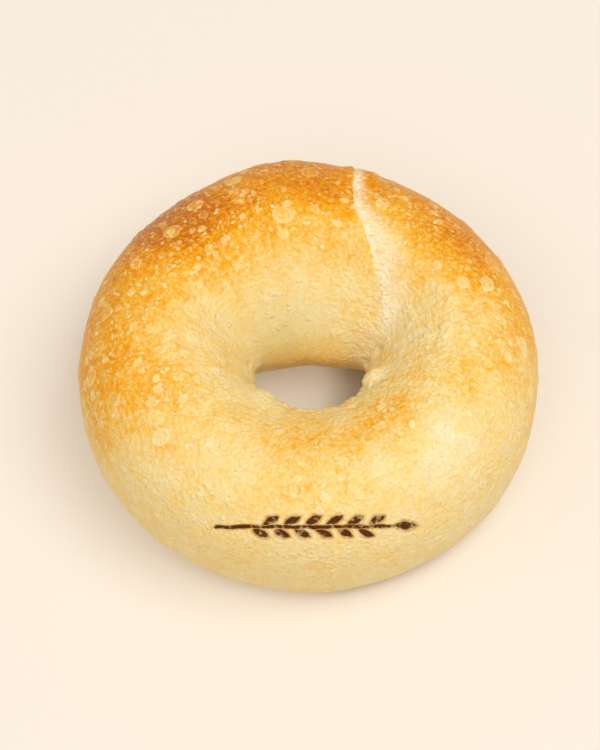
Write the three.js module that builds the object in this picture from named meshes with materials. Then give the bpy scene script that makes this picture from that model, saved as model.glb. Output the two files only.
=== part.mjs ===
// A plain bagel, rolled by hand: one rope of dough closed into a ring, its two ends lapped at
// the back. It is baked whole, so it is one closed solid. Millimetres, +Z up. The origin lies
// on the resting plane, under the middle of the bagel's box, and the lap is on the +Y side.

import * as THREE from 'three';

// Driving dimensions of the ring, seen from above.
const WIDTH = 100;               // left to right
const DEPTH = 97;                // front to back, without the swelling at the lap
const HOLE_CENTRE = new THREE.Vector2(0.5, -3.6);
const HOLE_WIDTH = 24.0;         // left to right, at the narrowest height
const HOLE_TO_BACK = 6.9;        // from the hole's centre to its nearly straight back wall
const HOLE_TO_FRONT = 8.1;       // from the hole's centre to its round front wall
const HOLE_BACK_POWER = 9;       // a high power gives the back wall its square corners
const HOLE_FRONT_POWER = 2;      // a power of two is a plain ellipse

// Driving dimensions of the rope of dough, seen in section.
const CROWN_FRONT = 38;          // height at the front
const CROWN_BACK = 41;           // height at the back
const OUTER_WAIST = 0.46;        // height of the widest point, as a share of the crown
const OUTER_POWER = 2.15;        // roundness from the crown to the outer waist
const BELLY_POWER = 2.6;         // roundness below the outer waist

// The hole's wall, at its front and at its back. The back is a funnel with a tight lip.
const THROAT_HEIGHT = { front: 0.56, back: 0.42 };    // of the narrowest point, over the crown's
const FUNNEL_POWER = { front: 1.65, back: 1.35 };     // roundness from the crown to the throat
const THROAT_POWER = { front: 2.6, back: 1.6 };       // roundness below the throat
const CHANGE_FROM = -0.6;        // sine of the angle where the wall starts to change over
const CHANGE_TO = 0.45;          // and where it has become the back's
const FLATTENED = 3;             // how far the dough sank on the baking sheet

// The lap, where one end of the rope lies over the other.
const SWELL_ANGLE = THREE.MathUtils.degToRad(97);
const SWELL_SPREAD = THREE.MathUtils.degToRad(20);
const SWELL_OUT = 0.9;           // outwards, on the outer wall
const SWELL_UP = 2.1;            // upwards, on the crown
const LAP_X = 12.3;              // the upper end's edge crosses the crown at this place
const LAP_SWAY = 2.8;            // how far the edge bends away, left behind it, right before it
const LAP_MIDDLE = 22;           // the crown's place, front to back
const LAP_BEND = 8;              // how gently the edge bends there
const LAP_STEP = 0.8;            // height of the upper end's edge
const LAP_EDGE = 1.6;            // half the width that the step takes
const LAP_RUN_OUT = 14;          // how far the upper end's lip takes to fade away

// Mesh density.
const STATIONS = 96;             // sections round the ring
const ARC_POINTS = 29;           // points of a section, from its flat underside over the crown

const CRUST = new THREE.MeshStandardMaterial({ color: 0xe0a553, roughness: 0.45, metalness: 0 });

// Distance from the centre of a rounded box (a superellipse) to its edge, in one direction.
function superellipseRadius(angle, halfWidth, halfDepth, power) {
  const across = Math.abs(Math.cos(angle) / halfWidth) ** power;
  const along = Math.abs(Math.sin(angle) / halfDepth) ** power;
  return (across + along) ** (-1 / power);
}

// How much of the swelling at the lap is felt at an angle round the ring, from 0 to 1.
function swelling(angle) {
  return Math.exp(-(((angle - SWELL_ANGLE) / SWELL_SPREAD) ** 2));
}

function outerPoint(angle) {
  const grown = 1 + (SWELL_OUT * swelling(angle)) / (DEPTH / 2);
  return new THREE.Vector2(
    (WIDTH / 2) * Math.cos(angle),
    (DEPTH / 2) * Math.sin(angle),
  ).multiplyScalar(grown);
}

function innerPoint(angle) {
  const atBack = Math.sin(angle) > 0;
  const radius = superellipseRadius(
    angle,
    HOLE_WIDTH / 2,
    atBack ? HOLE_TO_BACK : HOLE_TO_FRONT,
    atBack ? HOLE_BACK_POWER : HOLE_FRONT_POWER,
  );
  return new THREE.Vector2(Math.cos(angle), Math.sin(angle))
    .multiplyScalar(radius)
    .add(HOLE_CENTRE);
}

function crownHeight(angle) {
  const towardsBack = (1 + Math.sin(angle)) / 2;
  return THREE.MathUtils.lerp(CROWN_FRONT, CROWN_BACK, towardsBack) + SWELL_UP * swelling(angle);
}

// A value of the hole's wall, at an angle round the ring. It changes over at the sides.
function holeWall(angle, value) {
  const share = THREE.MathUtils.smoothstep(Math.sin(angle), CHANGE_FROM, CHANGE_TO);
  return THREE.MathUtils.lerp(value.front, value.back, share);
}

// Height of the lapped end's lip above the plain rope at a place on the crown. It is highest
// at the edge, falls away to the left, and is nothing at all to the right of the edge.
function lapHeight(x, y) {
  if (y < 0) return 0;
  const leftOfEdge = LAP_X - LAP_SWAY * Math.tanh((y - LAP_MIDDLE) / LAP_BEND) - x;
  const step = THREE.MathUtils.smoothstep(leftOfEdge, -LAP_EDGE, LAP_EDGE);
  return LAP_STEP * step * Math.exp(-Math.max(leftOfEdge, 0) / LAP_RUN_OUT);
}

// The two halves of a section: how high the waist lies, and how round it is above and below.
function outerHalf(crown) {
  return { waist: OUTER_WAIST * crown, above: OUTER_POWER, below: BELLY_POWER };
}

function innerHalf(angle, crown) {
  return {
    waist: holeWall(angle, THROAT_HEIGHT) * crown,
    above: holeWall(angle, FUNNEL_POWER),
    below: holeWall(angle, THROAT_POWER),
  };
}

// How far below the waist, as an angle, the flat underside cuts the round belly off.
function cutAngle({ waist, below }) {
  return Math.asin((waist / (waist + FLATTENED)) ** (below / 2));
}

// One section of the rope, from the inner edge of its flat underside, up the hole's wall, over
// the crown and down the outer wall to the underside's outer edge.
function sectionPoints(angle) {
  const inner = innerPoint(angle);
  const outer = outerPoint(angle);
  const middle = inner.clone().lerp(outer, 0.5);
  const reach = outer.clone().sub(inner).multiplyScalar(0.5);
  const crown = crownHeight(angle);
  const towardsHole = innerHalf(angle, crown);
  const awayFromHole = outerHalf(crown);
  const start = -cutAngle(towardsHole);
  const end = Math.PI + cutAngle(awayFromHole);

  return Array.from({ length: ARC_POINTS }, (_, i) => {
    const turn = THREE.MathUtils.lerp(start, end, i / (ARC_POINTS - 1));
    const sine = Math.sin(turn);
    const cosine = Math.cos(turn);
    const { waist, above, below } = cosine > 0 ? towardsHole : awayFromHole;
    const isAbove = sine > 0;
    const power = isAbove ? above : below;
    const sideways = -Math.sign(cosine) * Math.abs(cosine) ** (2 / power);
    const upright = Math.abs(sine) ** (2 / power);
    const x = middle.x + reach.x * sideways;
    const y = middle.y + reach.y * sideways;
    const height = isAbove ? crown - waist + lapHeight(x, y) : -(waist + FLATTENED);
    const onUnderside = i === 0 || i === ARC_POINTS - 1;
    return [x, y, onUnderside ? 0 : waist + height * upright];
  });
}

// Joins the sections into one closed skin. Both directions wrap round, so it has no border.
function ringGeometry() {
  const sections = Array.from({ length: STATIONS }, (_, k) =>
    sectionPoints((2 * Math.PI * k) / STATIONS));
  const triangles = [];
  for (let k = 0; k < STATIONS; k += 1) {
    for (let i = 0; i < ARC_POINTS; i += 1) {
      const here = k * ARC_POINTS;
      const next = ((k + 1) % STATIONS) * ARC_POINTS;
      const up = (i + 1) % ARC_POINTS;
      triangles.push(here + i, here + up, next + i);
      triangles.push(next + i, here + up, next + up);
    }
  }
  const geometry = new THREE.BufferGeometry();
  geometry.setAttribute('position', new THREE.Float32BufferAttribute(sections.flat(2), 3));
  geometry.setIndex(triangles);
  return geometry;
}

// Puts the middle of the box over the origin, with the underside on the resting plane.
function centreOnOrigin(geometry) {
  geometry.computeBoundingBox();
  const centre = geometry.boundingBox.getCenter(new THREE.Vector3());
  geometry.translate(-centre.x, -centre.y, 0);
  geometry.computeVertexNormals();
  return geometry;
}

const bagel = new THREE.Mesh(centreOnOrigin(ringGeometry()), CRUST);
bagel.name = 'bagel';

const part = new THREE.Group();
part.add(bagel);

export default part;
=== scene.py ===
# %% [markdown]
# # A plain bagel on a pale table
#
# This lesson makes one hand-rolled bagel in Blender 4.5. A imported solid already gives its
# size, its hole and the place where the rope's two ends are lapped. What is left to make is
# everything that says "bread": the crust's slow swells, the crisp lip of the lap, the pleats
# in the hole, hundreds of small blisters, and a colour that runs from cream to deep orange.
#
# The frame is loaded first. Its box is kept, because the finished bagel has to fit it.

# %% Load the frame
import math

import bpy
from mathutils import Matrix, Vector


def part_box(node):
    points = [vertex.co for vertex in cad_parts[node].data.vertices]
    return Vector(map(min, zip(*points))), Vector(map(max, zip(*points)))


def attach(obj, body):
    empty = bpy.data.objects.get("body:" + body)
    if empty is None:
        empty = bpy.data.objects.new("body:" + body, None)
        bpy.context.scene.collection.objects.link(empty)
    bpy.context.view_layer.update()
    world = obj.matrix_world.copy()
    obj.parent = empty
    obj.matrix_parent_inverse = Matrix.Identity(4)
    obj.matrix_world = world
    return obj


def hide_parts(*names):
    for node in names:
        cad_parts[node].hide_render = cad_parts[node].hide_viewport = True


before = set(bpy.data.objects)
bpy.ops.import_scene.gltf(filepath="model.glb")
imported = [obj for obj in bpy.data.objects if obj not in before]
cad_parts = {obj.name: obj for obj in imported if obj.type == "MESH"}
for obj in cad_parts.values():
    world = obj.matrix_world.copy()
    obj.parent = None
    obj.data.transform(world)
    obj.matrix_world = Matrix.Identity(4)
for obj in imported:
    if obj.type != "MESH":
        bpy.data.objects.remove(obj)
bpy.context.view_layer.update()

node_low, node_high = (Vector(corner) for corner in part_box("bagel"))
print("The solid measures", [round(1000 * side, 1) for side in node_high - node_low], "mm")

# %% [markdown]
# ## One unit for everything
#
# Crust details are about a millimetre across. Writing them in metres gives long rows of
# zeros, so this lesson measures in hundredths of the bagel's width. The bagel is about 100 mm
# wide, so one unit is about one millimetre, and everything follows if the frame changes size.

# %% The unit
UNIT = (node_high.x - node_low.x) / 100
print("One unit is", round(1000 * UNIT, 3), "mm")

# %% [markdown]
# ## The dough, from the solid
#
# The real bagel is one rope of dough closed into a ring, so it is one piece here too. A torus
# primitive could be a start, but the solid already has the right height, the D-shaped hole and
# the flat underside. A copy of it is the better start, and the solid itself stays as it was.
#
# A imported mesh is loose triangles. The copy is merged first, and then turned back into quads,
# because a subdivision surface runs smoothly only over quads.


# %% Copy the solid and make it quads
def edit(piece, select="SELECT"):
    """Opens one object for editing, with all or none of it selected."""
    bpy.ops.object.select_all(action="DESELECT")
    bpy.context.view_layer.objects.active = piece
    piece.select_set(True)
    bpy.ops.object.mode_set(mode="EDIT")
    bpy.ops.mesh.select_all(action=select)


def done():
    bpy.ops.object.mode_set(mode="OBJECT")


bagel = bpy.data.objects.new("baked_bagel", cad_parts["bagel"].data.copy())
bpy.context.scene.collection.objects.link(bagel)
bagel.data.materials.clear()

edit(bagel)
bpy.ops.mesh.remove_doubles(threshold=0.01 * UNIT)
bpy.ops.mesh.tris_convert_to_quads(
    face_threshold=math.radians(50), shape_threshold=math.radians(80))
bpy.ops.mesh.normals_make_consistent(inside=False)
done()
print("The cage has", len(bagel.data.polygons), "faces")

# %% [markdown]
# ## A softer underside
#
# The solid's flat underside is one wide strip with a sharp edge. Real dough rounds gently into
# its flat. The strip's long edges are cut into shorter ones, so that the subdivision surface
# keeps the flat flat and rounds only a narrow band beside it.

# %% Cut the underside into narrower rings
FLAT_CUTS = 5
WIDE_EDGE = 8 * UNIT
ON_THE_TABLE = 0.01 * UNIT

edit(bagel, "DESELECT")
bpy.ops.mesh.select_mode(type="EDGE")
done()
points = bagel.data.vertices
for edge in bagel.data.edges:
    ends = [points[i].co for i in edge.vertices]
    is_flat = all(end.z < ON_THE_TABLE for end in ends)
    edge.select = is_flat and (ends[0] - ends[1]).length > WIDE_EDGE
bpy.ops.object.mode_set(mode="EDIT")
bpy.ops.mesh.subdivide(number_cuts=FLAT_CUTS)
bpy.ops.mesh.select_mode(type="VERT")
done()
print("With the underside cut,", len(bagel.data.polygons), "faces")


# %% Round it off
def apply(piece, kind, **settings):
    """Adds a modifier, sets it and applies it at once."""
    bpy.ops.object.select_all(action="DESELECT")
    bpy.context.view_layer.objects.active = piece
    piece.select_set(True)
    modifier = piece.modifiers.new(kind.title(), kind)
    for name, value in settings.items():
        setattr(modifier, name, value)
    bpy.ops.object.modifier_apply(modifier=modifier.name)


apply(bagel, "SUBSURF", levels=2, render_levels=2)
print("Rounded,", len(bagel.data.polygons), "faces")

# %% [markdown]
# ## Lumps that fingers left
#
# Where the ends were pinched together the dough bulges into the hole, and the rope is a little
# uneven all round. With a mouse one would grab a point with proportional editing on, and pull.
# The same operator runs here: the nearest point is picked, moved, and its surroundings follow.


# %% Push and pull the dough
def pull(piece, place, shift, reach):
    """Moves the point nearest to a place, and what lies within reach of it follows softly."""
    place = Vector(place) * UNIT
    nearest = min(piece.data.vertices, key=lambda point: (point.co - place).length).index
    edit(piece, "DESELECT")
    done()
    piece.data.vertices[nearest].select = True
    bpy.ops.object.mode_set(mode="EDIT")
    bpy.ops.transform.translate(
        value=Vector(shift) * UNIT,
        use_proportional_edit=True,
        proportional_edit_falloff="SMOOTH",
        proportional_size=reach * UNIT,
    )
    done()


PULLS = [
    # place, shift, reach
    ((-9.0, -12.5, 30.0), (1.3, 1.1, 0.2), 8.0),      # a bulge, front left of the hole
    ((14.1, -6.8, 26.5), (-2.1, 0.5, 1.5), 5.0),      # the knob right of the hole
    ((12.5, -3.0, 22.0), (-0.9, 0.0, 0.6), 4.0),      # and the dough under it
]
for place, shift, reach in PULLS:
    pull(bagel, place, shift, reach)
print(len(PULLS), "places pulled")

# %% [markdown]
# ## An even, fine mesh
#
# The blisters are one to five units wide, and they sit all over. The cage is dense in the hole
# and sparse on the outside, so a voxel remesh spreads the faces evenly. At six tenths of a
# unit a face, the whole bagel stays under 200,000 triangles. A light smoothing takes the last
# trace of the voxel grid away.

# %% Remesh
VOXEL = 0.6

bagel.data.remesh_voxel_size = VOXEL * UNIT
bagel.data.remesh_voxel_adaptivity = 0
bpy.ops.object.voxel_remesh()
apply(bagel, "SMOOTH", factor=0.5, iterations=3)
print("The even mesh has", len(bagel.data.polygons), "faces")

# %% [markdown]
# ## One graph for shape and colour
#
# A blister is a low cap of raised skin, and it is also paler than the crust round it. If the
# shape and the colour came from two different patterns they would never line up. So the
# patterns are written once, as small functions that add nodes to a graph. The same functions
# serve a geometry graph, which moves the points, and a material graph, which colours them.
#
# Both read the dough's place from before it was moved, kept on the mesh as an attribute.

# %% Helpers that add nodes
GIVES_A_NUMBER = ("LENGTH", "DOT_PRODUCT", "DISTANCE")


class Graph:
    """Adds nodes to one node tree and links them up, in a geometry or a material tree."""

    def __init__(self, tree):
        self.tree = tree

    def add(self, kind, **settings):
        node = self.tree.nodes.new(kind)
        for name, value in settings.items():
            setattr(node, name, value)
        return node

    def plug(self, socket, value):
        if isinstance(value, bpy.types.NodeSocket):
            self.tree.links.new(value, socket)
        else:
            socket.default_value = value

    def math(self, operation, *values):
        node = self.add("ShaderNodeMath", operation=operation)
        for socket, value in zip(node.inputs, values):
            self.plug(socket, value)
        return node.outputs[0]

    def plus(self, *values):
        total = values[0]
        for value in values[1:]:
            total = self.math("ADD", total, value)
        return total

    def times(self, *values):
        product = values[0]
        for value in values[1:]:
            product = self.math("MULTIPLY", product, value)
        return product

    def minus(self, a, b):
        return self.math("SUBTRACT", a, b)

    def vector(self, operation, a, b):
        node = self.add("ShaderNodeVectorMath", operation=operation)
        self.plug(node.inputs[0], a)
        self.plug(node.inputs[1], b)
        return node.outputs[1 if operation in GIVES_A_NUMBER else 0]

    def split(self, vector):
        node = self.add("ShaderNodeSeparateXYZ")
        self.plug(node.inputs[0], vector)
        return node.outputs

    def join(self, x, y, z):
        node = self.add("ShaderNodeCombineXYZ")
        for socket, value in zip(node.inputs, (x, y, z)):
            self.plug(socket, value)
        return node.outputs[0]


print("Graph helpers ready")

# %% [markdown]
# ## Soft borders, clouds and cells
#
# Four more helpers cover nearly all that a crust needs. A fade turns any number into a mask
# with soft borders. A cloud makes things uneven. Cells are for what comes in separate spots.
# A patch is a soft round spot at a place of one's choice, for what isn't the same all over.


# %% Pattern helpers
def fade(graph, value, start, end, low=0.0, high=1.0):
    """Runs softly from low, where value is start, to high, where it is end."""
    node = graph.add("ShaderNodeMapRange", interpolation_type="SMOOTHSTEP")
    for socket, number in zip(node.inputs, (value, start, end, low, high)):
        graph.plug(socket, number)
    return node.outputs[0]


def cloud(graph, place, size, detail=2.0, roughness=0.5):
    """A noise with features about as wide as size."""
    node = graph.add("ShaderNodeTexNoise", noise_dimensions="3D")
    graph.plug(node.inputs["Vector"], place)
    node.inputs["Scale"].default_value = 1 / size
    node.inputs["Detail"].default_value = detail
    node.inputs["Roughness"].default_value = roughness
    return node


def unevenness(graph, place, size, detail=2.0, roughness=0.5):
    """Cloudy values on both sides of zero, from about -0.5 to 0.5."""
    return graph.minus(cloud(graph, place, size, detail, roughness).outputs[0], 0.5)


def cells(graph, place, size):
    """One random point in each cell: the distance to the nearest, and its own three numbers."""
    node = graph.add("ShaderNodeTexVoronoi", voronoi_dimensions="3D", feature="F1")
    graph.plug(node.inputs["Vector"], place)
    node.inputs["Scale"].default_value = 1 / size
    return graph.times(node.outputs["Distance"], size), graph.split(node.outputs["Color"])


def patch(graph, place, centre, radius, strength):
    """A number that is strength at the centre and fades softly to nothing at the radius."""
    apart = graph.vector("DISTANCE", place, centre)
    return graph.times(fade(graph, apart, radius, 0.0), strength)


print("Pattern helpers ready")

# %% [markdown]
# ## Blisters
#
# Boiling makes small bubbles under the skin, and the oven lifts them. Each is a round cap with
# a flat top, a thin bright rim and a crease round it. They could be added one by one as small
# domes, but there are hundreds, so a cell pattern places them: it gives every cell one random
# point. A cap is all that lies within that point's own radius, and most cells get none. The
# points lie in space, not on the skin, so caps are cut at all heights and differ in width.

# %% The blister pattern
RIM_WIDTH = 1.2                 # half a rim's width, over the width of its cap's edge


def blisters(graph, place, size, share, radius, edge):
    """Caps from 0 to 1, their rims from 0 to 1, and a random number for each cap."""
    distance, (chance, girth, fate) = cells(graph, place, size)
    reach = fade(graph, girth, 0.0, 1.0, *radius)
    here = graph.math("LESS_THAN", chance, share)
    gap = graph.minus(distance, reach)
    cap = graph.times(here, fade(graph, gap, 0.0, -edge))
    away = graph.math("ABSOLUTE", graph.plus(gap, edge))
    rim = graph.times(here, fade(graph, away, RIM_WIDTH * edge, 0.0))
    return cap, rim, fate


# Cell size, smallest and largest radius, and edge of each kind, in units.
BIG = {"size": 6.5, "radius": (1.2, 2.6), "edge": 0.3}
MIDDLE = {"size": 3.0, "radius": (0.6, 1.2), "edge": 0.22}
SMALL = {"size": 1.3, "radius": (0.22, 0.58), "edge": 0.15}
print("Caps are up to", 2 * BIG["radius"][1], "units wide")

# %% [markdown]
# ## Where blisters gather
#
# Blisters crowd on the shoulders, where the skin was thin and hot. There are few in the hole
# and none near the table. So the share of cells that rise isn't one number: it grows outwards,
# comes in clumps, and is a little higher or lower at a few places.

# %% The share of cells that rise
SHARES = (0.62, 0.90, 1.05)     # of big, middle and small cells, before it is made uneven
CROWDS = [
    # centre, radius, how much more
    ((-22.0, 26.0, 40.0), 24.0, 0.5),
    ((23.0, -10.0, 37.0), 14.0, 0.3),
    ((5.0, -26.0, 38.0), 20.0, -0.3),
]


def crowding(graph, place):
    """The share of cells that rise at a place, for each kind of blister."""
    x, y, z = graph.split(place)
    from_axis = graph.math("SQRT", graph.plus(graph.times(x, x), graph.times(y, y)))
    outward = fade(graph, from_axis, 14.0, 34.0, 0.3, 0.9)
    clump = fade(graph, cloud(graph, place, 14.0).outputs[0], 0.35, 0.62, 0.4, 1.0)
    upper = fade(graph, z, 3.0, 16.0)
    nearby = [patch(graph, place, *row) for row in CROWDS]
    crowd = graph.times(graph.plus(outward, *nearby), clump, upper)
    return [graph.times(crowd, share) for share in SHARES]


print("Small cells rise", round(SHARES[2] / SHARES[0], 1), "times as often as big ones")

# %% [markdown]
# ## Nothing is quite round
#
# Cells and caps from a pattern are too regular for dough. Their place is pushed about by two
# clouds before the pattern is read, a wide one and a narrow one, so round things come out
# stretched and dented. Two thin-line patterns come with it: a web of borders between cells, and
# closed loops that follow a cloud's middle value, as contour lines follow a hill.

# %% Pushed places, webs and loops
PUSHES = ((6.0, 2.2), (2.0, 0.4))       # each cloud's size, and how far it pushes


def warped(graph, place):
    """The place, pushed about, so that round patterns are drawn out here and dented there."""
    for size, amount in PUSHES:
        push = graph.vector("SUBTRACT", cloud(graph, place, size).outputs["Color"], (0.5,) * 3)
        place = graph.vector("ADD", place, graph.vector("MULTIPLY", push, (amount,) * 3))
    return place


def web(graph, place, size, width):
    """Thin borders between cells, from 0 to 1."""
    node = graph.add("ShaderNodeTexVoronoi", voronoi_dimensions="3D", feature="DISTANCE_TO_EDGE")
    graph.plug(node.inputs["Vector"], place)
    node.inputs["Scale"].default_value = 1 / size
    return fade(graph, node.outputs["Distance"], width, 0.0)


def loops(graph, place, size, width):
    """Thin closed worm-like lines, where a cloudy pattern crosses its middle value."""
    off_middle = graph.math("ABSOLUTE", unevenness(graph, place, size, detail=1.0))
    return fade(graph, off_middle, width, 0.0)


print("Places are pushed by up to", sum(amount / 2 for _, amount in PUSHES), "units")

# %% [markdown]
# ## The lap
#
# The upper end of the rope stops in a lip that crosses the crown, front to back. The solid has
# the same lip, but soft, because its faces are wide. A bevel along a row of edges would need
# those edges to follow the lip, and they don't. So the soft step is swapped for a crisp one in
# the height pattern: the crisp step is added and the soft one taken away.

# %% The lip's line, the same as the solid's
LAP_X = 12.3                    # the lip crosses the crown at this place
LAP_SWAY = 2.8                  # how far it bends away, left behind it, right before it
LAP_MIDDLE = 22.0               # where it bends
LAP_BEND = 8.0                  # how gently
LAP_TUCK = 3.0                  # how far it runs left where it goes down into the hole
LAP_WOBBLE = 1.6                # how uneven it is


def left_of_lap(graph, place):
    """How far a place lies left of the lip. Right of it, the number is below zero."""
    x, y, _ = graph.split(place)
    along = graph.times(graph.minus(y, LAP_MIDDLE), 1 / LAP_BEND)
    sway = graph.times(graph.math("TANH", along), -LAP_SWAY)
    tuck = fade(graph, y, 7.0, 0.0, 0.0, -LAP_TUCK)
    wobble = graph.times(unevenness(graph, place, 5.0), LAP_WOBBLE)
    return graph.minus(graph.plus(LAP_X, sway, tuck, wobble), x)


print("The lip crosses the crown at", LAP_X, "units from the middle")

# %% The lip's height
LAP_STEP = 0.8                  # height of the lip
LAP_EDGE = 1.6                  # half the width of the solid's soft step
LAP_CRISP = 0.45                # half the width of the crisp step
LAP_RUN_OUT = 14.0              # how far the lip takes to fade away to the left
LAP_SUNKEN = 0.3                # how far the dough right of it lies below the crust
FLAP = ((11.5, 38.5, 38.0), 8.5, 1.7)       # the lip's raised corner at the very back


def lap_height(graph, place):
    """What has to be added to the solid's soft lip to make it crisp."""
    left = left_of_lap(graph, place)
    x, y, _ = graph.split(place)
    crisp = fade(graph, left, -LAP_CRISP, LAP_CRISP)
    soft = fade(graph, left, -LAP_EDGE, LAP_EDGE)
    shrink = fade(graph, y, 8.0, 26.0, 0.0, 0.6)
    step = graph.times(graph.minus(graph.times(crisp, shrink), soft), LAP_STEP)
    past_lip = graph.math("MAXIMUM", left, 0.0)
    run_out = graph.math("EXPONENT", graph.times(past_lip, -1 / LAP_RUN_OUT))
    right_side = graph.times(graph.minus(1.0, crisp), fade(graph, left, -5.0, 0.0))
    sunken = graph.times(right_side, -LAP_SUNKEN)
    at_back = fade(graph, y, -1.0, 3.0)
    flap = graph.times(patch(graph, place, *FLAP), fade(graph, x, 16.4, 15.0))
    return graph.plus(graph.times(graph.plus(graph.times(step, run_out), sunken), at_back), flap)


print("The lip is", LAP_STEP, "units high")

# %% [markdown]
# ## Bare dough beside the lip
#
# Right of the lip lies a strip of dough that was under cover in the oven. It is pale, narrow
# and crisp at the back, and wider and softer near the hole. It could be a second skin with its
# own material, but it has no edge of its own except the lip, so it is a mask measured from the
# lip's line. It shrank as it dried, so it is finely wrinkled: a cloud drawn out away from the
# lip gives folds that run the same way.


# %% The bare strip and its wrinkles
def bare_dough(graph, place):
    """1 where the dough was under cover, right of the lip, and 0 away from it."""
    left = left_of_lap(graph, place)
    _, y, z = graph.split(place)
    width = fade(graph, y, 36.0, 14.0, -3.4, -9.0)
    inside = fade(graph, graph.math("DIVIDE", left, width), 1.0, 0.05)
    softness = fade(graph, y, 22.0, 8.0, 1.0, 5.0)
    border = fade(graph, graph.math("DIVIDE", graph.minus(left, 0.45), softness), 0.0, -0.4)
    return graph.times(border, inside, fade(graph, y, -1.0, 7.0), fade(graph, z, 6.0, 28.0))


def fine_wrinkles(graph, place):
    """Fine folds that run away from the lip, from -0.5 to 0.5."""
    x, y, z = graph.split(place)
    drawn = graph.join(graph.times(x, 0.35), y, z)
    return unevenness(graph, drawn, 0.8, detail=3.0, roughness=0.65)


print("The bare strip is ready")

# %% [markdown]
# ## Pleats in the hole
#
# The skin was stretched over the outside and crowded together in the hole, so it lies in small
# pleats there. They run up and down the hole's wall. A cloudy pattern is squeezed round the
# hole and drawn out along the pleats, so that it changes quickly one way and slowly the other.
# The hole's near rim also carries small beads of dough, which come from the cell pattern.

# %% The pleat pattern
HOLE_X = 0.8
HOLE_Y = -4.0
PLEAT_DEPTH = 1.7
BEAD_HEIGHT = 1.5


def round_the_hole(graph, place, squeeze, draw):
    """The place as seen from the hole: turned round it squeezed, away from it drawn out."""
    x, y, z = graph.split(place)
    dx, dy = graph.minus(x, HOLE_X), graph.minus(y, HOLE_Y)
    away = graph.math("SQRT", graph.plus(graph.times(dx, dx), graph.times(dy, dy)))
    cos, sin = graph.math("DIVIDE", dx, away), graph.math("DIVIDE", dy, away)
    slow = graph.times(graph.minus(away, graph.times(z, 0.5)), 1 / draw)
    return graph.join(graph.times(cos, squeeze), graph.times(sin, squeeze), slow), away


def pleat_height(graph, place):
    """Pleats down the hole's wall, and beads on its near rim."""
    turned, away = round_the_hole(graph, place, 9.0, 9.0)
    y = graph.split(place)[1]
    near = fade(graph, away, 19.0, 9.0)
    at_front = fade(graph, y, 6.0, -2.0, 0.25, 1.0)
    pleats = unevenness(graph, turned, 1.3, detail=3.0)
    distance, _ = cells(graph, place, 1.8)
    beads = fade(graph, distance, 1.3, 0.0, -0.2, 0.3)
    near_rim = graph.times(fade(graph, away, 16.0, 10.0), fade(graph, y, 1.0, -4.0))
    return graph.plus(
        graph.times(pleats, near, at_front, PLEAT_DEPTH), graph.times(beads, near_rim, BEAD_HEIGHT))


print("Pleats fade out away from the hole")

# %% [markdown]
# ## Lines that run out from the hole
#
# The skin was pulled towards the hole as the ring was closed. That left fine lines over the
# crown, plainest left and right of the hole, and a grain in the skin that runs the same way.
# Both are the pleats' pattern again, only squeezed more.


# %% Stretch marks and grain
def stretch_marks(graph, place):
    """Fine lines that run out from the hole over the crown, left and right of it."""
    turned, away = round_the_hole(graph, place, 14.0, 8.0)
    lines = unevenness(graph, turned, 1.1, detail=3.0, roughness=0.6)
    band = graph.times(fade(graph, away, 9.0, 15.0), fade(graph, away, 36.0, 22.0))
    x = graph.minus(graph.split(place)[0], HOLE_X)
    turn = graph.math("DIVIDE", graph.math("ABSOLUTE", x), away)
    return graph.times(lines, band, fade(graph, turn, 0.4, 0.85, 0.35, 1.0))


def grain(graph, place):
    """The skin's own fine grain, drawn out away from the hole, from -0.5 to 0.5."""
    turned, _ = round_the_hole(graph, place, 42.0, 2.2)
    return unevenness(graph, turned, 1.0, detail=3.0, roughness=0.6)


print("Lines run out from the hole at", (HOLE_X, HOLE_Y))

# %% [markdown]
# ## Creases
#
# Where the two ends were pinched together the skin folded in, and left a few straight grooves.
# A knife cut would be too sharp. Each groove is the distance to a short line, turned into a
# soft valley that is deepest at its start, next to the hole.

# %% The grooves
CREASES = [
    # start, end, half width, depth
    ((12.4, 1.9, 18.0), (18.2, 2.2, 29.5), 1.5, 1.4),
    ((15.0, -5.5, 27.0), (22.0, -16.0, 37.5), 1.5, 0.9),
    ((9.5, -16.2, 32.4), (17.6, -31.4, 37.5), 2.0, 0.7),
    ((14.6, -1.6, 22.0), (26.0, -4.5, 37.5), 1.4, 0.6),
    ((-12.6, 0.1, 20.8), (-19.0, -1.0, 31.0), 1.6, 0.6),
]
LEFT_AT_END = 0.2               # the share of its depth that a crease still has at its end


def crease_depth(graph, place):
    """Grooves along straight lines, below zero."""
    depths = []
    for start, end, half_width, depth in CREASES:
        line = Vector(end) - Vector(start)
        from_start = graph.vector("SUBTRACT", place, start)
        on_line = graph.vector("DOT_PRODUCT", from_start, tuple(line))
        share = fade(graph, graph.times(on_line, 1 / line.length_squared), 0.0, 1.0)
        nearest = graph.vector("MULTIPLY", graph.join(share, share, share), tuple(line))
        apart = graph.vector("DISTANCE", from_start, nearest)
        fading = fade(graph, share, 0.5, 1.0, -depth, -LEFT_AT_END * depth)
        depths.append(graph.times(fade(graph, apart, half_width, 0.0), fading))
    return graph.plus(*depths)


print(len(CREASES), "creases, up to", max(row[3] for row in CREASES), "units deep")

# %% [markdown]
# ## A scorched mark
#
# A hot iron can leave a baker's own mark low on the front. This one is plain: an ear of wheat
# lying on its side. It could be thin mesh laid over the skin, but a scorch has no thickness.
# Distances drawn by nodes need no second piece, and stay sharp at any size. The grains repeat
# along the stem, so one grain is drawn in a strip that is wrapped round every few units and
# mirrored over the stem.

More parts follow.
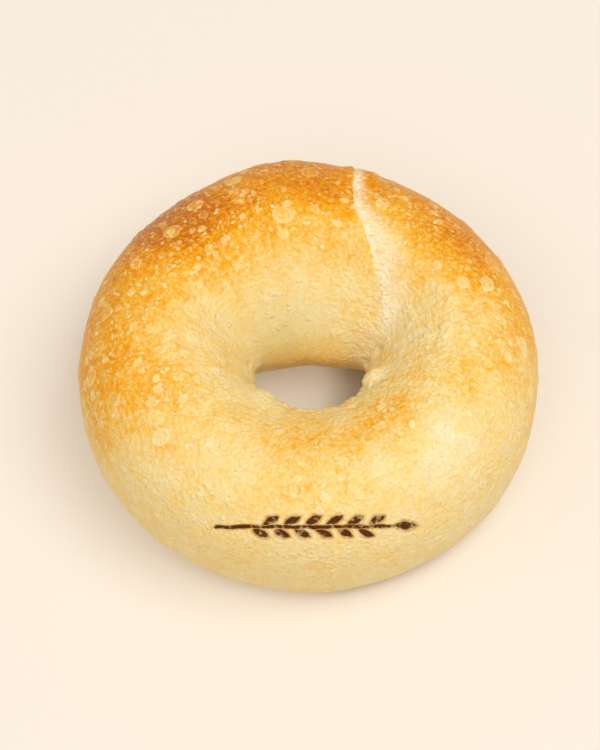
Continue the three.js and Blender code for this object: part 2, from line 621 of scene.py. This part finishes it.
# %% The ear's grains and stem
GRAIN_EVERY = 4.4
GRAIN_OUT = 1.5                 # from the stem to a grain's middle
GRAIN_TURN = math.radians(27)
GRAIN_HALF_LENGTH = 2.0
GRAIN_HALF_WIDTH = 0.85
EAR_FROM, EAR_TO = -11.0, 15.4
TIP = 19.2
TIP_HALF_LENGTH = 2.4
STEM_FROM, STEM_TO = -20.5, 17.0
STEM_HALF_WIDTH = 0.42


def grains(graph, along, up):
    """Below 1 inside a grain. The grains below the stem lie half a step further on."""
    below = graph.math("LESS_THAN", up, 0.0)
    shifted = graph.plus(along, graph.times(below, GRAIN_EVERY / 2))
    across = graph.math("WRAP", shifted, GRAIN_EVERY / 2, -GRAIN_EVERY / 2)
    out = graph.minus(graph.math("ABSOLUTE", up), GRAIN_OUT)
    cos, sin = math.cos(GRAIN_TURN), math.sin(GRAIN_TURN)
    long = graph.plus(graph.times(across, cos), graph.times(out, sin))
    thin = graph.math("ABSOLUTE", graph.minus(graph.times(out, cos), graph.times(across, sin)))
    tapered = graph.math("POWER", graph.times(long, 1 / GRAIN_HALF_LENGTH), 2.0)
    shape = graph.plus(tapered, graph.times(thin, 1 / GRAIN_HALF_WIDTH))
    on_ear = graph.times(
        fade(graph, shifted, EAR_FROM - 0.1, EAR_FROM + 0.1),
        fade(graph, shifted, EAR_TO + 0.1, EAR_TO - 0.1))
    return graph.plus(shape, graph.times(graph.minus(1.0, on_ear), 9.0))


def stem_and_tip(graph, along, up):
    """Below 1 inside the stem or the grain at its tip."""
    up = graph.math("ABSOLUTE", up)
    tip_long = graph.times(graph.minus(along, TIP), 1 / TIP_HALF_LENGTH)
    tip = graph.plus(graph.math("POWER", tip_long, 2.0), up)
    past_ends = graph.math("MAXIMUM", graph.minus(STEM_FROM, along), graph.minus(along, STEM_TO))
    past_ends = graph.times(graph.math("MAXIMUM", past_ends, 0.0), 3.0)
    stem = graph.plus(graph.times(up, 1 / STEM_HALF_WIDTH), past_ends)
    return graph.math("MINIMUM", tip, stem)


print("The ear is", 2 * (GRAIN_OUT + 1), "units tall")

# %% Lay the ear on the front
MARK_CENTRE = (1.0, -44.5, 31.2)
MARK_UP = (0.0, 0.66, 0.75)
MARK_DROOP = 1.5 / 21 ** 2      # the ends droop by 1.5 units, 21 units from the middle
MARK_REACH = 26.0


def sprig(graph, place):
    """The mark from 0 to 1, and a softer, wider scorch round it."""
    offset = graph.vector("SUBTRACT", place, MARK_CENTRE)
    along = graph.split(offset)[0]
    up = graph.vector("DOT_PRODUCT", offset, MARK_UP)
    droop = graph.times(along, along, MARK_DROOP)
    wander = graph.times(unevenness(graph, place, 3.0), 0.8)
    up = graph.plus(up, droop, wander)
    nearest = graph.math("MINIMUM", grains(graph, along, up), stem_and_tip(graph, along, up))
    from_centre = graph.vector("LENGTH", offset, (0.0, 0.0, 0.0))
    on_front = fade(graph, from_centre, MARK_REACH, MARK_REACH - 2.0)
    mark = graph.times(fade(graph, nearest, 1.05, 0.80), on_front)
    halo = graph.times(fade(graph, nearest, 2.1, 0.8), on_front)
    return mark, halo


print("The mark lies", MARK_CENTRE[2], "units above the table")

# %% [markdown]
# ## Shape the skin
#
# A geometry graph now adds up the heights: slow swells, the lap, the pleats, the creases and
# the blisters. It moves every point along its normal by the sum. A sculpting brush could do the
# same by hand, but then the colours couldn't follow it. The underside stays flat, because it
# lay on a baking sheet. The place from before the move is kept as an attribute for the material.

# %% Heights of the blisters and the swells
CAP_HEIGHTS = (0.18, 0.14)      # of the big and the middle kind
RIM_SHARE = 0.25                # how far a rim stands above its cap, as a share of its height
SLOW_SWELL = 1.0
QUICK_SWELL = 0.45


def blister_heights(graph, place):
    """Caps and rims. Some caps have fallen in, and are only a third as high."""
    uneven = warped(graph, place)
    heights = []
    for kind, share, height in zip((BIG, MIDDLE), crowding(graph, place), CAP_HEIGHTS):
        cap, rim, fate = blisters(graph, uneven, share=share, **kind)
        hollow = fade(graph, fate, 0.55, 0.75, 1.0, 0.35)
        raised = graph.plus(graph.times(cap, hollow), graph.times(rim, RIM_SHARE))
        heights.append(graph.times(raised, height))
    return graph.plus(*heights)


def swells(graph, place):
    """The rope's slow unevenness, left by the hands."""
    slow = graph.times(unevenness(graph, place, 26.0, detail=1.0), SLOW_SWELL)
    quick = graph.times(unevenness(graph, place, 7.0), QUICK_SWELL)
    return graph.plus(slow, quick)


print("Big caps stand", CAP_HEIGHTS[0], "units above the crust")

# %% Open the geometry graph and keep the place
skin = bpy.data.node_groups.new("Crust relief", "GeometryNodeTree")
skin.interface.new_socket("Geometry", in_out="INPUT", socket_type="NodeSocketGeometry")
skin.interface.new_socket("Geometry", in_out="OUTPUT", socket_type="NodeSocketGeometry")
relief = Graph(skin)
start = relief.add("NodeGroupInput")
finish = relief.add("NodeGroupOutput")

position = relief.add("GeometryNodeInputPosition").outputs[0]
place = relief.vector("MULTIPLY", position, (1 / UNIT,) * 3)
keep = relief.add("GeometryNodeStoreNamedAttribute", data_type="FLOAT_VECTOR", domain="POINT")
relief.plug(keep.inputs["Geometry"], start.outputs[0])
relief.plug(keep.inputs["Name"], "dough")
relief.plug(keep.inputs["Value"], place)
print("The place is kept as", keep.inputs["Name"].default_value)

# %% Add up the heights and move the points
STRETCH_DEPTH = 0.9
MARK_DEPTH = 0.18
WRINKLE_DEPTH = 0.5

off_table = fade(relief, relief.split(place)[2], 0.3, 4.0)
height = relief.plus(
    swells(relief, place), lap_height(relief, place),
    pleat_height(relief, place), blister_heights(relief, place),
    relief.times(stretch_marks(relief, place), STRETCH_DEPTH), crease_depth(relief, place),
    relief.times(sprig(relief, place)[0], -MARK_DEPTH),
    relief.times(bare_dough(relief, place), fine_wrinkles(relief, place), WRINKLE_DEPTH))
lift = relief.times(height, off_table, UNIT)
normal = relief.add("GeometryNodeInputNormal").outputs[0]
move = relief.add("GeometryNodeSetPosition")
relief.plug(move.inputs["Geometry"], keep.outputs[0])
relief.plug(move.inputs["Offset"], relief.vector("MULTIPLY", normal, relief.join(lift, lift, lift)))
relief.plug(finish.inputs[0], move.outputs[0])

apply(bagel, "NODES", node_group=skin)
bpy.ops.object.shade_smooth()
triangles = sum(len(face.vertices) - 2 for face in bagel.data.polygons)
print("The finished skin has", triangles, "triangles")

# %% [markdown]
# ## How brown the crust is
#
# A boiled and baked crust runs from cream, where it was sheltered, over gold to deep orange,
# where it was nearest to the oven's heat. It could be painted by hand, but its pattern is soft
# and has few causes, so it is built from them: the back half was hotter, the hole and the low
# sides were sheltered, and the crown caught a little heat in front of the hole. Deep down the
# hole the crust is made browner as well, which is painted shade. One number, the browning,
# is worked out first, and is turned into a colour only at the end.

# %% Places that are browner or paler than their surroundings
SHELTERED = 0.25                # how brown the crust is where no heat got to it
HOTTEST = 0.64                  # how much browner it is at the back
SOLE = 0.42                     # how much browner the flat underside is
UNEVEN = 0.42                   # how uneven the heat was
PATCHES = [
    # centre, radius, how much browner: first in front of the hole, and in it
    ((1.0, -28.0, 38.0), 25.0, 0.19),
    ((17.0, -21.0, 37.0), 12.0, 0.24),
    # painted shade: deep down the hole the crust is made browner and darker, where the throat lies
    # in shade
    ((0.0, 3.0, 15.0), 13.0, 0.42),
    ((0.0, -10.0, 20.0), 14.0, 0.14),
    ((24.0, -10.0, 36.0), 12.0, 0.04),
    # the deep orange at the back and on the left
    ((-31.0, 29.0, 37.0), 20.0, 0.40),
    ((-4.0, 36.0, 42.0), 20.0, 0.12),
    ((38.0, 22.0, 36.0), 16.0, 0.02),
    ((-43.0, -8.0, 32.0), 30.0, 0.20),
    # pale places: both sides of the hole, right of the lap, the right front, behind the hole
    ((-26.0, 5.0, 39.0), 19.0, -0.20),
    ((29.0, 1.0, 38.0), 19.0, -0.15),
    ((18.0, 25.0, 41.0), 13.0, -0.24),
    ((37.0, -30.0, 32.0), 22.0, -0.10),
    ((-6.0, 8.0, 32.0), 18.0, -0.13),
    # the gold of the left front
    ((-29.0, -18.0, 36.0), 20.0, 0.16),
    ((-18.0, -29.0, 37.0), 17.0, 0.06),
]


def browning(graph, place):
    """How brown the crust is: 0 is raw dough, 1 is deep orange."""
    x, y, z = graph.split(place)
    uneven = graph.times(unevenness(graph, place, 10.0, detail=3.0), UNEVEN)
    plan = graph.join(x, y, 0.0)
    from_heart = graph.vector("DISTANCE", plan, (3.0, -5.0, 0.0))
    outward = fade(graph, from_heart, 12.0, 42.0)
    from_axis = graph.vector("LENGTH", plan, (0.0, 0.0, 0.0))
    backward = fade(graph, graph.math("DIVIDE", y, from_axis), -0.9, 0.9, 0.05, 1.0)
    above = fade(graph, z, 4.0, 30.0)
    heat = graph.times(outward, backward, above, HOTTEST)
    sole = fade(graph, z, 2.2, 0.3, 0.0, SOLE)
    patches = [patch(graph, place, *row) for row in PATCHES]
    return graph.plus(SHELTERED, heat, sole, uneven, *patches)


print(len(PATCHES), "patches make the crust browner or paler")

# %% Open the crust's material
PATCHY_BROWN = 0.28             # how much the small patches change the browning
MARKS_BROWN = 0.45              # and the lines that run out from the hole

crust = bpy.data.materials.new("Baked crust")
crust.use_nodes = True
crust.node_tree.nodes.clear()
paint = Graph(crust.node_tree)
dough = paint.add("ShaderNodeAttribute", attribute_name="dough").outputs["Vector"]
uneven_dough = warped(paint, dough)
patchy = unevenness(paint, uneven_dough, 3.2, detail=3.0)
brown = paint.plus(
    browning(paint, dough),
    paint.times(patchy, PATCHY_BROWN),
    paint.times(stretch_marks(paint, dough), MARKS_BROWN))
print("The browning has", len(crust.node_tree.nodes), "nodes")

# %% [markdown]
# ## Fine texture
#
# Close up, the crust is full of fine things: a mottle, the grain, pebbles between tiny cells,
# and darker lines where the skin wrinkled, mostly right of the hole. Each could be laid over
# the colour on its own, but then it would be as plain on pale crust as on orange. Here each is
# a share of the browning instead, so it is strong on orange crust and faint on pale.

# %% Wrinkles, pebbles, grain and mottle
WRINKLED = [
    # where darker lines run between the cells: centre, radius, strength
    ((24.0, -8.0, 37.0), 20.0, 0.75),
    ((6.0, -27.0, 38.0), 22.0, 0.28),
    ((-30.0, 15.0, 39.0), 30.0, 0.12),
    ((28.0, 22.0, 39.0), 22.0, 0.12),
]
WRINKLED_ELSEWHERE = 0.12
GRAIN_SHARE = 0.30              # these three are shares of the browning
WRINKLED_GRAIN_SHARE = 0.8
PEBBLE_SHARE = 0.16
GRAIN_ON_PALE = 0.12            # these two are the same on pale crust as on orange
PEBBLES_ON_PALE = 0.14

mottle = cloud(paint, dough, 0.8, detail=3.0, roughness=0.6).outputs[0]
fibres = grain(paint, uneven_dough)
cell_distance, _ = cells(paint, uneven_dough, 1.1)
between_cells = paint.minus(cell_distance, 0.5)
borders = paint.math(
    "MAXIMUM", web(paint, uneven_dough, 1.3, 0.28), web(paint, uneven_dough, 2.6, 0.14))
wrinkled = paint.plus(*(patch(paint, dough, *row) for row in WRINKLED), WRINKLED_ELSEWHERE)

texture = paint.plus(
    1.0, paint.times(fibres, GRAIN_SHARE), fade(paint, mottle, 0.3, 0.7, -0.07, 0.05),
    paint.times(between_cells, PEBBLE_SHARE), paint.times(borders, wrinkled),
    paint.times(fibres, wrinkled, WRINKLED_GRAIN_SHARE))
brown = paint.plus(
    paint.times(brown, texture),
    paint.times(fibres, GRAIN_ON_PALE),
    paint.times(between_cells, PEBBLES_ON_PALE),
    fade(paint, mottle, 0.3, 0.7, 0.03, -0.05))
print("Wrinkled at", len(WRINKLED), "places")

# %% [markdown]
# ## Blisters are less brown
#
# A blister's skin stands away from the wet dough and is thin, so it browns less than the crust
# round it, and every blister a little differently. The browning is lowered inside each cap and
# along fine worm-like lines. Only then does a colour ramp turn it into cream, gold or orange.


# %% Lower the browning in the caps
def less(graph, brown, mask, amount):
    """The brown, less a share of itself where the mask is 1."""
    return graph.times(brown, graph.minus(1.0, graph.times(mask, amount)))


PALEST_CAPS = (0.28, 0.38, 0.42)        # how much less brown a big, middle or small cap may be
BROWNEST_CAP = 0.06
WORMS_PALER = 0.20

on_deep = fade(paint, brown, 0.55, 1.05, 1.0, 0.6)
kinds = []
for kind, share, most in zip((BIG, MIDDLE, SMALL), crowding(paint, dough), PALEST_CAPS):
    cap, rim, fate = blisters(paint, uneven_dough, share=share, **kind)
    brown = less(paint, brown, cap, fade(paint, fate, 0.0, 1.0, BROWNEST_CAP, most))
    kinds.append((cap, rim, fate))

worms = paint.math(
    "MAXIMUM", loops(paint, uneven_dough, 2.4, 0.04), loops(paint, uneven_dough, 1.2, 0.045))
brown = less(paint, brown, worms, WORMS_PALER)
print("Small caps are up to", round(100 * PALEST_CAPS[2]), "per cent less brown")

# %% Turn the browning into a colour
BROWNEST = 1.25
CRUST_COLOURS = [
    # how brown, colour as light counts it: red, green, blue
    (0.00, (0.930, 0.820, 0.570)),
    (0.14, (0.865, 0.710, 0.390)),
    (0.32, (0.880, 0.650, 0.255)),
    (0.50, (0.895, 0.555, 0.140)),
    (0.68, (0.880, 0.420, 0.025)),
    (0.85, (0.840, 0.325, 0.003)),
    (1.00, (0.765, 0.250, 0.001)),
    (BROWNEST, (0.570, 0.150, 0.001)),
]

ramp = paint.add("ShaderNodeValToRGB")
stops = ramp.color_ramp.elements
while len(stops) < len(CRUST_COLOURS):
    stops.new(1.0)
for stop, (level, colour) in zip(stops, CRUST_COLOURS):
    stop.position = level / BROWNEST
    stop.color = (*colour, 1.0)
paint.plug(ramp.inputs[0], paint.times(brown, 1 / BROWNEST))
colour = ramp.outputs[0]
print("The crust runs through", len(stops), "colours")

# %% [markdown]
# ## Milky caps and painted highlights on the rims
#
# Less brown isn't all: a cap is also a little milky, because light scatters in the loose skin.
# Its rim would catch the light, so a painted highlight is laid along it, and a fainter one along
# the worm-like lines. These are mixed over the crust's colour. On the deepest orange the milk
# and the rims' highlight are weaker, because there the blisters browned too.


# %% Mix milk and painted rim highlights over the crust
def mix(graph, share, under, over):
    """One colour laid over another, as much as the share says."""
    node = graph.add("ShaderNodeMix", data_type="RGBA")
    for socket, value in ((node.inputs[0], share), (node.inputs[6], under), (node.inputs[7], over)):
        graph.plug(socket, value)
    return node.outputs[2]


MILKY = (0.98, 0.71, 0.30, 1.0)
# The painted highlight: the warm light that a blister's rim and the fine lines would catch.
PAINTED_HIGHLIGHT = (1.00, 0.81, 0.45, 1.0)
MILK = (0.24, 0.28, 0.55)       # how milky big, middle and small caps may be
# SHINE is how strong the painted highlight on each kind's rims is.
SHINE = (0.30, 0.34, 0.22)      # how bright their rims are
WORM_SHINE = 0.06

# Milk on each cap, then a painted highlight on its rim; last, a faint painted highlight along the
# worm-like lines.
for (cap, rim, fate), milk, shine in zip(kinds, MILK, SHINE):
    milky = paint.times(cap, fade(paint, fate, 0.0, 1.0, 0.3, 1.0), on_deep, milk)
    colour = mix(paint, milky, colour, MILKY)
    colour = mix(paint, paint.times(rim, on_deep, shine), colour, PAINTED_HIGHLIGHT)
colour = mix(paint, paint.times(worms, WORM_SHINE), colour, PAINTED_HIGHLIGHT)
print("Each kind of blister has a milky cap and a bright rim")

# %% [markdown]
# ## The hole's olive and the bare strip
#
# Two places aren't ordinary crust. Down the hole the crust is mixed towards a darker olive,
# strongest on the wall. The strip beside the lip is bare: nearly white, with gold in its folds
# and one small tear at its lower end. These are mixed over the crust as colours, not as less
# browning, with the same masks that shaped them.

# %% The hole, the bare strip and the tear
HOLE_OLIVE = (0.62, 0.50, 0.17, 1.0)
RAW_DOUGH = (0.95, 0.82, 0.57, 1.0)
FOLD_SHADE = (0.86, 0.61, 0.25, 1.0)
TORN = (0.42, 0.22, 0.05, 1.0)
HOLE_WALL = ((-5.0, 3.0, 24.0), 22.0, 0.5)      # centre, radius, strength
TEAR = ((15.6, 10.6, 34.0), 2.2, 1.3)
DARKEST_TEAR = 0.8

# Down the hole the colour runs towards a darker olive, strongest on the wall.
in_the_hole = patch(paint, dough, *HOLE_WALL)
colour = mix(paint, in_the_hole, colour, HOLE_OLIVE)

folds = fine_wrinkles(paint, dough)
bare = bare_dough(paint, dough)
pale_skin = mix(paint, fade(paint, folds, 0.02, 0.18), RAW_DOUGH, FOLD_SHADE)
cover = paint.times(bare, fade(paint, patchy, -0.25, 0.1, 1.0, 0.75))
colour = mix(paint, cover, colour, pale_skin)

tear = paint.times(patch(paint, dough, *TEAR), loops(paint, dough, 1.7, 0.03))
colour = mix(paint, paint.math("MINIMUM", tear, DARKEST_TEAR), colour, TORN)
print("Bare dough laid over the crust")

# %% [markdown]
# ## The colour of the mark
#
# An iron never touches a round crust evenly, so the ear is charred in blots, and a brown scorch
# fades out round it. A second cloud decides where the iron pressed.

# %% Scorch and char
SCORCHED = (0.46, 0.17, 0.015, 1.0)
CHARRED = (0.065, 0.014, 0.001, 1.0)

burn, halo = sprig(paint, dough)
blots = cloud(paint, dough, 1.3).outputs[0]
scorch = paint.times(halo, fade(paint, blots, 0.35, 0.6, 0.40, 0.9))
char = paint.times(burn, fade(paint, blots, 0.36, 0.50, 0.45, 0.96))
colour = mix(paint, scorch, colour, SCORCHED)
colour = mix(paint, char, colour, CHARRED)
print("The mark is charred in blots")

# %% [markdown]
# ## The crust's relief and gloss
#
# The mesh carries everything wider than a unit. Finer things, such as the smallest bubbles, the
# caps' thin rims and the worm-like mottle, would take millions of faces, so they are only bumps
# in the shading. The hole's wall is smoother than the rest. Browner crust is glossier, because
# the boiled starch on it baked to a glaze. A little light goes into the dough and comes out
# again warmer, which is what subsurface scattering does.

# %% Bump
SMOOTH_IN_HOLE = 0.35           # the share of the fine relief that is left on the hole's wall
RIM_BUMP = 0.06                 # heights, in units
CAP_BUMP = 0.11
MOTTLE_BUMP = 0.12
GRAIN_BUMP = 0.10
WORM_BUMP = 0.05
BORDER_DENT = 0.09
PEBBLE_DENT = 0.20
FOLD_BUMP = 0.25

pebbly = fade(paint, in_the_hole, 0.0, 0.35, 1.0, SMOOTH_IN_HOLE)
big_rims, middle_rims, small_caps = kinds[0][1], kinds[1][1], kinds[2][0]
fine = paint.plus(
    paint.times(big_rims, RIM_BUMP),
    paint.times(middle_rims, RIM_BUMP),
    paint.times(small_caps, CAP_BUMP),
    paint.times(mottle, pebbly, MOTTLE_BUMP),
    paint.times(fibres, pebbly, GRAIN_BUMP),
    paint.times(worms, pebbly, WORM_BUMP),
    paint.times(borders, wrinkled, -BORDER_DENT),
    paint.times(between_cells, pebbly, -PEBBLE_DENT),
    paint.times(bare, folds, FOLD_BUMP))
bump = paint.add("ShaderNodeBump")
bump.inputs["Distance"].default_value = UNIT
bump.inputs["Strength"].default_value = 1.0
paint.plug(bump.inputs["Height"], fine)
print("Small caps are bumps of", CAP_BUMP, "units")

# %% Shader
DULL, GLOSSY = 0.5, 0.36

shader = paint.add("ShaderNodeBsdfPrincipled")
paint.plug(shader.inputs["Base Color"], colour)
paint.plug(shader.inputs["Roughness"], fade(paint, brown, 0.2, 0.9, DULL, GLOSSY))
paint.plug(shader.inputs["Normal"], bump.outputs[0])
shader.inputs["Subsurface Weight"].default_value = 0.12
shader.inputs["Subsurface Radius"].default_value = (1.0, 0.5, 0.2)
shader.inputs["Subsurface Scale"].default_value = 1.5 * UNIT
shader.inputs["Specular IOR Level"].default_value = 0.2
shader.inputs["Specular Tint"].default_value = (1.0, 0.82, 0.50, 1.0)
surface = paint.add("ShaderNodeOutputMaterial")
paint.plug(surface.inputs[0], shader.outputs[0])
print("The crust's material has", len(crust.node_tree.nodes), "nodes")

# %% Hand the bagel over
bagel.data.materials.append(crust)
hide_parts("bagel")
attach(bagel, "root")
print("The bagel has its crust")

# %% [markdown]
# ## The table
#
# The bagel lies on a plain pale table. It is a hair below the underside, because two faces at
# the same height flicker where they meet.
#
# In a bright room, light reaches a table from everywhere and fills the shadows. Three lamps
# can't do that alone, so the table glows faintly. The glow is switched off in the right part of
# the hole, which the room's light doesn't reach: an ambient occlusion node finds the places
# with something close above them, and a fade across the table leaves out the left side.

# %% Table
TABLE_SIZE = 6000
TABLE_GAP = 0.02
TABLE_COLOUR = (0.98, 0.88, 0.75)
TABLE_SHARE = 0.66              # how much of its colour comes from the lamps, not the glow

bpy.ops.object.select_all(action="DESELECT")
bpy.ops.mesh.primitive_plane_add(size=TABLE_SIZE * UNIT)
table = bpy.context.object
table.name = "table"
table.location.z = -TABLE_GAP * UNIT

tabletop = bpy.data.materials.new("Pale table")
tabletop.use_nodes = True
table_shader = tabletop.node_tree.nodes["Principled BSDF"].inputs
table_shader["Base Color"].default_value = (*[TABLE_SHARE * part for part in TABLE_COLOUR], 1)
table_shader["Roughness"].default_value = 0.9
table_shader["Specular IOR Level"].default_value = 0.0
table.data.materials.append(tabletop)
print("The table is", round(TABLE_SIZE * UNIT, 1), "m wide")

# %% The table's glow
TABLE_GLOW = 0.22
LOOK_UP = 80                    # how far up something close counts, in units

room = Graph(tabletop.node_tree)
above = room.add("ShaderNodeAmbientOcclusion", samples=16)
room.plug(above.inputs["Distance"], LOOK_UP * UNIT)
in_the_open = fade(room, above.outputs["AO"], 0.25, 0.40)
where = room.split(room.add("ShaderNodeTexCoord").outputs["Object"])
left_side = fade(room, room.times(where[0], 1 / UNIT), 11.0, 1.0)
glow = room.times(room.math("MAXIMUM", in_the_open, left_side), TABLE_GLOW)
room.plug(table_shader["Emission Strength"], glow)
table_shader["Emission Color"].default_value = (*TABLE_COLOUR, 1)
print("The table glows at", TABLE_GLOW)

# %% [markdown]
# ## The light
#
# The light is soft and even. A large key lamp stands to the right and a little in front, so the
# shadow falls to the left and stays faint. A wider, weaker lamp stands in front, and a weak one
# on the left opens the shadow side. A pale sky fills in the rest.


# %% Light
def aim(thing, target):
    """Turns a lamp or a camera towards a place."""
    thing.rotation_euler = (target - thing.location).to_track_quat("-Z", "Y").to_euler()


def soft_lamp(name, location, size, energy):
    lamp = bpy.data.objects.new(name, bpy.data.lights.new(name, "AREA"))
    bpy.context.scene.collection.objects.link(lamp)
    lamp.data.shape = "DISK"
    lamp.data.size = size
    lamp.data.energy = energy
    lamp.location = location
    aim(lamp, (node_low + node_high) / 2)


soft_lamp("Key lamp", location=(0.82, -0.22, 1.81), size=1.4, energy=22.0)
soft_lamp("Front lamp", location=(-0.25, -0.95, 1.73), size=1.6, energy=13.0)
soft_lamp("Left lamp", location=(-1.60, -0.20, 1.10), size=1.4, energy=4.0)

sky = bpy.data.worlds.new("Soft room light")
bpy.context.scene.world = sky
sky.use_nodes = True
sky_light = sky.node_tree.nodes["Background"].inputs
sky_light["Color"].default_value = (1.0, 0.98, 0.96, 1.0)
sky_light["Strength"].default_value = 0.42
bpy.context.scene.view_settings.view_transform = "Standard"
print("Three soft lamps and a pale sky")

# %% [markdown]
# ## The camera
#
# The camera looks down steeply from the front, through a long lens, so that the ring keeps its
# shape. It aims a little left of the bagel's middle, which leaves room for the shadow.

# %% Camera
DISTANCE = 0.7
ELEVATION = math.radians(60)
AIM = Vector((-1.8, -0.7, 18.3)) * UNIT

camera = bpy.data.objects.new("Camera", bpy.data.cameras.new("Camera"))
bpy.context.scene.collection.objects.link(camera)
camera.data.lens = 154.4
camera.data.sensor_width = 36
camera.location = AIM + DISTANCE * Vector((0, -math.cos(ELEVATION), math.sin(ELEVATION)))
aim(camera, AIM)
bpy.context.scene.camera = camera
print("The camera stands", round(camera.location.z, 2), "m above the table")

# %% [markdown]
# ## Finish
#
# The finished bagel has to fit the box of the solid it stands for.

# %% Finish
print("The scene is ready")
